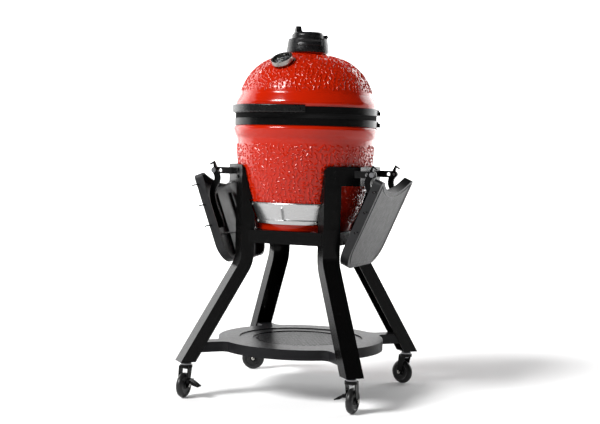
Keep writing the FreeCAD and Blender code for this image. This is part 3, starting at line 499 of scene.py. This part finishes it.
# ---- small parts ----------------------------------------------------------------------------
def tube_mesh(name, points, radius, sides=10):
    """Round bar along a run of points."""
    points = [Vector(p) for p in points]
    vertices, faces = [], []
    normal = None
    for k, point in enumerate(points):
        ahead = points[min(k + 1, len(points) - 1)] - points[max(k - 1, 0)]
        ahead.normalize()
        if normal is None:
            normal = ahead.orthogonal().normalized()
        normal = (normal - ahead * normal.dot(ahead)).normalized()
        other = ahead.cross(normal)
        for s in range(sides):
            angle = 2 * math.pi * s / sides
            vertices.append(point + (normal * math.cos(angle) + other * math.sin(angle)) * radius)
    for k in range(len(points) - 1):
        for s in range(sides):
            t = (s + 1) % sides
            faces.append((k * sides + s, k * sides + t, (k + 1) * sides + t, (k + 1) * sides + s))
    faces.append(tuple(range(sides))[::-1])
    faces.append(tuple((len(points) - 1) * sides + s for s in range(sides)))
    obj = mesh_object(name, [tuple(v) for v in vertices], faces)
    obj.data.set_sharp_from_angle(angle=math.radians(50))
    return obj


def build_springs():
    """Two wound springs round the hinge pin."""
    place, axis = joint_place("lid_hinge")
    wire, coil_r, turns, per_turn = 1.4 * MM, 9.0 * MM, 8, 20
    outwards = Vector((place.x, place.y, 0)).normalized()
    length = 25 * MM - 2 * wire
    for name, start in (("left", -31 * MM), ("right", 6 * MM)):
        points = []
        for k in range(turns * per_turn + 1):
            angle = 2 * math.pi * k / per_turn
            along = start + wire + length * k / (turns * per_turn)
            points.append(place + axis * along + (outwards * math.cos(angle) + UP * math.sin(angle)) * coil_r)
        coil = tube_mesh("hinge_coil_" + name, points, wire)
        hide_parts("hinge_springs")
        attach(give(coil, ZINC_STEEL), "stand")


def add_piece(name, vertices, faces, slot, body, smooth=False):
    """A small added piece in its slot's material, riding on a body."""
    obj = mesh_object(name, vertices, faces, smooth)
    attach(give(obj, BY_SLOT[slot]), body)


def plate_on(centre, along, across, out, shape, thickness, top_scale=0.9):
    """A thin plate on a surface, its outline given along and across the plate, tapered to its top."""
    base = [centre + along * u + across * v for u, v in shape]
    top = [centre + along * u * top_scale + across * v * top_scale + out * thickness for u, v in shape]
    count = len(shape)
    faces = [tuple(range(count))[::-1], tuple(range(count, 2 * count))]
    faces += [(k, (k + 1) % count, count + (k + 1) % count, count + k) for k in range(count)]
    return [tuple(v) for v in base + top], faces


def merged(blocks):
    """One set of vertices and faces from several."""
    vertices, faces = [], []
    for block_vertices, block_faces in blocks:
        offset = len(vertices)
        vertices += block_vertices
        faces += [tuple(i + offset for i in face) for face in block_faces]
    return vertices, faces


def build_thermometer():
    """Scale of the thermometer: long and short strokes, without any figures."""
    start, sweep, strokes, per_long = 45, 270, 40, 5
    place, axis = joint_place("needle_turn")
    axis = axis if axis.z > 0 else -axis
    down = Vector((place.x, place.y, 0)).normalized()
    down = (down - axis * down.dot(axis)).normalized()
    side = axis.cross(down).normalized()
    face = place + axis * (node_reach("thermometer_dial", axis) - place.dot(axis))
    blocks = []
    for k in range(strokes + 1):
        angle = math.radians(start + sweep * k / strokes)
        out = down * math.cos(angle) + side * math.sin(angle)
        across = axis.cross(out)
        long_stroke = k % per_long == 0
        inner, outer = (18.5 if long_stroke else 21.5) * MM, 24.5 * MM
        half = (0.55 if long_stroke else 0.3) * MM
        shape = [(inner, -half), (outer, -half), (outer, half), (inner, half)]
        blocks.append(plate_on(face, out, across, axis, shape, 0.15 * MM, 1.0))
    add_piece("thermometer_scale", *merged(blocks), "dial_needle", "lid")


def build_vent_label():
    """Blank plate with a raised frame round it, on the tapered front of the chimney ring. In millimetres."""
    ring_low, ring_high, low_r, high_r = 991, 1024.0, 61.3, 56.6
    frame_lift, plate_lift = 1.2, 0.5
    section = [(1003, 0.0), (1004, frame_lift), (1006, frame_lift), (1006.6, plate_lift),
               (1018.4, plate_lift), (1019, frame_lift), (1021, frame_lift), (1022, 0.0)]
    start, end, steps = math.radians(-10), math.radians(66), 24
    vertices, faces = [], []
    for k in range(steps + 1):
        angle = start + (end - start) * k / steps
        for z, lift in section:
            if k in (0, steps):
                lift = 0.0
            elif k in (1, steps - 1) and lift:
                lift = frame_lift
            taper = (z - ring_low) * (low_r - high_r) / (ring_high - ring_low)
            radius = (low_r - taper + lift) * MM
            vertices.append((radius * math.sin(angle), -radius * math.cos(angle), z * MM))
    count = len(section)
    for k in range(steps):
        for i in range(count - 1):
            faces.append((k * count + i, (k + 1) * count + i, (k + 1) * count + i + 1, k * count + i + 1))
    add_piece("vent_label", vertices, faces, "vent_casting", "lid", True)


def screw_head(centre, out, radius, height):
    """A domed head in two halves with a slot between them."""
    side = out.orthogonal().normalized()
    other = out.cross(side)
    slot_angle, steps = 12, 8
    halves = []
    for turn in (0, math.pi):
        outline = []
        for k in range(steps + 1):
            angle = turn + math.radians(slot_angle + (180 - 2 * slot_angle) * k / steps)
            outline.append((radius * math.cos(angle), radius * math.sin(angle)))
        halves.append(plate_on(centre, side, other, out, outline, height, 0.62))
    return halves


def build_vent_screws():
    """Three domed screws with a slot, on the shoulder of the vent cap."""
    ring, shoulder_z = 39.5 * MM, 1040.0 * MM
    blocks = []
    for angle in (20, 140, 260):
        turn = math.radians(angle)
        centre = Vector((ring * math.cos(turn), ring * math.sin(turn), shoulder_z))
        blocks += screw_head(centre, UP, 2.6 * MM, 1.5 * MM)
    add_piece("vent_cap_screws", *merged(blocks), "vent_casting", "vent_cap")


def shelf_frame(side):
    """A point of a shelf's top beside its hinge, and the ways along, across and out of the shelf."""
    hinge = side + "_shelf_hinge"
    top_above_hinge = 48.5    # millimetres
    place, _ = joint_place(hinge)
    sign = 1 if side == "right" else -1
    tilt = math.radians(full_turn(hinge))
    out = Vector((sign * math.sin(tilt), 0, math.cos(tilt)))
    along = Vector((sign * math.cos(tilt), 0, -math.sin(tilt)))
    return place + out * top_above_hinge * MM, along, Vector((0, 1, 0)), out


def build_shelf_trim():
    """Raised border line that follows the outline of each shelf's top."""
    half, end, corner = 0.133, 0.2535, 0.049
    bite_r, bite_depth, bite_angle = 0.235, 0.0480, 33.0
    corner_steps, bite_steps = 8, 12
    rounded = []
    for k in range(corner_steps + 1):
        angle = math.radians(90 - 90 * k / corner_steps)
        rounded.append((end - corner + corner * math.cos(angle), half - corner + corner * math.sin(angle)))
    bite = []
    for k in range(bite_steps + 1):
        angle = math.radians(bite_angle - 2 * bite_angle * k / bite_steps)
        bite.append((bite_depth - bite_r + bite_r * math.cos(angle), bite_r * math.sin(angle)))
    outline = rounded + [(u, -v) for u, v in rounded[::-1]] + bite[::-1]
    for side in ("right", "left"):
        origin, along, across, out = shelf_frame(side)
        points = [origin + along * u + across * v + out * 0.1 * MM for u, v in outline]
        bead = tube_mesh("shelf_border_" + side, points + [points[0]], 1.3 * MM, 8)
        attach(give(bead, SHELF_PLASTIC), "shelf_" + side)


def build_tray_mesh():
    """Perforated plate in the middle of the bottom tray, of square cells with an eight-sided hole each."""
    low, high, pitch, hole, reach = 151.0 * MM, 152.2 * MM, 9.0 * MM, 2.9 * MM, 134 * MM
    blocks = []
    count = int(reach / pitch)
    for i in range(-count, count + 1):
        for j in range(-count, count + 1):
            x, y = i * pitch, j * pitch
            if math.hypot(abs(x) + pitch / 2, abs(y) + pitch / 2) > reach:
                continue
            square, octagon = [], []
            for k in range(8):
                angle = math.radians(45 * k)
                corner = pitch / 2 * (1 / max(abs(math.cos(angle)), abs(math.sin(angle))))
                square.append((x + corner * math.cos(angle), y + corner * math.sin(angle)))
                octagon.append((x + hole * math.cos(angle), y + hole * math.sin(angle)))
            vertices = [(u, v, high) for u, v in square + octagon]
            vertices += [(u, v, low) for u, v in octagon + square]
            faces = []
            for k in range(8):
                after = (k + 1) % 8
                faces.append((k, after, 8 + after, 8 + k))
                faces.append((8 + k, 8 + after, 16 + after, 16 + k))
                faces.append((24 + k, 24 + after, after, k))
            blocks.append((vertices, faces))
    add_piece("tray_perforated_plate", *merged(blocks), "tray_steel", "stand")


def build_axle_caps():
    """Domed bright cap on each end of every axle."""
    rings = [(5.6, 17.2), (5.4, 18.4), (4.2, 19.2), (2.0, 19.7)]    # radius and height, millimetres
    sides = 20
    for corner in CORNERS:
        place, axle = joint_place("wheel_spin_" + corner)
        blocks = []
        for sign in (-1, 1):
            out = axle * sign
            side = out.orthogonal().normalized()
            other = out.cross(side)
            vertices, faces = [], []
            for radius, height in rings:
                for k in range(sides):
                    angle = 2 * math.pi * k / sides
                    spoke = (side * math.cos(angle) + other * math.sin(angle)) * radius * MM
                    vertices.append(tuple(place + out * height * MM + spoke))
            for low in range(0, (len(rings) - 1) * sides, sides):
                high = low + sides
                for k in range(sides):
                    following = (k + 1) % sides
                    faces.append((low + k, low + following, high + following, high + k))
            faces.append(tuple(range((len(rings) - 1) * sides, len(rings) * sides)))
            faces.append(tuple(range(sides))[::-1])
            blocks.append((vertices, faces))
        add_piece("axle_cap_" + corner, *merged(blocks), "bright_steel", "swivel_" + corner, True)


# ---- stage, light and camera ----------------------------------------------------------------
def build_stage():
    """Pale floor that curves up into a bright backdrop far behind the grill."""
    half_width, front, back, height, bend, steps = 30.0, -40.0, 9.0, 9.0, 3.0, 12
    glow_start, glow_end, near_glow, far_glow = 0.7, 4.0, 0.10, 0.66
    profile = [(front, 0.0), (back - bend, 0.0)]
    for k in range(1, steps + 1):
        angle = math.radians(90 * k / steps)
        profile.append((back - bend + bend * math.sin(angle), bend - bend * math.cos(angle)))
    profile.append((back, height))
    vertices = [(x, y, z) for y, z in profile for x in (-half_width, half_width)]
    faces = [(2 * k, 2 * k + 1, 2 * k + 3, 2 * k + 2) for k in range(len(profile) - 1)]
    floor = mesh_object("floor", vertices, faces)
    floor.rotation_euler = (0, 0, math.radians(22))    # square to the view
    pale = Surface("floor_paint", (0.88, 0.88, 0.88), 0.8)
    pale.set("Emission Color", (1.0, 1.0, 1.0, 1.0)).set("Specular IOR Level", 0.0)
    pale.vary_roughness(2, 0.04)
    reach = pale.nodes.new("ShaderNodeSeparateXYZ")
    pale.links.new(pale.coords, reach.inputs[0])
    glow = pale.nodes.new("ShaderNodeMapRange")
    glow.interpolation_type = "SMOOTHSTEP"
    glow.inputs["From Min"].default_value = glow_start
    glow.inputs["From Max"].default_value = glow_end
    glow.inputs["To Min"].default_value = near_glow
    glow.inputs["To Max"].default_value = far_glow
    pale.links.new(reach.outputs["Y"], glow.inputs["Value"])
    pale.links.new(glow.outputs["Result"], pale.shader.inputs["Emission Strength"])
    give(floor, pale)


def add_softbox(name, place, width, height, power):
    """A rectangular light that faces the middle of the grill."""
    target = Vector((0, 0, 0.7))
    light = bpy.data.lights.new(name, "AREA")
    light.shape = "RECTANGLE"
    light.size = width
    light.size_y = height
    light.energy = power
    obj = bpy.data.objects.new(name, light)
    obj.location = place
    obj.rotation_euler = (target - Vector(place)).to_track_quat("-Z", "Y").to_euler()
    bpy.context.scene.collection.objects.link(obj)


def light_scene():
    """A large soft key from the front left, softboxes on the left and behind, little ambient light."""
    world = bpy.data.worlds.new("studio")
    world.use_nodes = True
    background = world.node_tree.nodes["Background"]
    background.inputs["Color"].default_value = (1.0, 1.0, 1.0, 1.0)
    background.inputs["Strength"].default_value = 0.02
    bpy.context.scene.world = world
    bpy.context.scene.view_settings.view_transform = "Standard"
    key = bpy.data.lights.new("key", "SUN")
    key.energy = 4.4
    key.angle = math.radians(21)
    lamp = bpy.data.objects.new("key", key)
    lamp.rotation_euler = Vector((-0.418, -0.67, 0.616)).to_track_quat("Z", "Y").to_euler()
    bpy.context.scene.collection.objects.link(lamp)
    add_softbox("left_softbox", (-2.5, 0.35, 1.2), 2.1, 2.4, 27)
    add_softbox("right_softbox", (1.05, 2.5, 1.3), 1.8, 2.4, 28)


def aim_camera():
    """Long lens a little to the right of the front, just above level and slightly rolled."""
    place = Vector((1.3291, -3.3197, 0.7156))
    azimuth, pitch, roll = math.radians(22.215), math.radians(3.106), math.radians(1.381)
    flat = math.cos(pitch)
    back = Vector((math.sin(azimuth) * flat, -math.cos(azimuth) * flat, math.sin(pitch)))
    level = Vector((math.cos(azimuth), math.sin(azimuth), 0))
    upright = level.cross(-back)
    right = level * math.cos(roll) + upright * math.sin(roll)
    up = upright * math.cos(roll) - level * math.sin(roll)
    data = bpy.data.cameras.new("camera")
    data.lens = 73.65
    data.sensor_width = 36.0
    data.shift_x = 0.0077
    data.shift_y = 0.0008
    camera = bpy.data.objects.new("camera", data)
    camera.matrix_world = Matrix.Translation(place) @ Matrix((right, up, back)).transposed().to_4x4()
    bpy.context.scene.collection.objects.link(camera)
    bpy.context.scene.camera = camera


# ---- build ----------------------------------------------------------------------------------
finish_cad_nodes()
build_base_glaze()
build_dome_glaze()
build_wheels()
build_springs()
build_thermometer()
build_vent_label()
build_vent_screws()
build_shelf_trim()
build_tray_mesh()
build_axle_caps()
build_stage()
light_scene()
aim_camera()
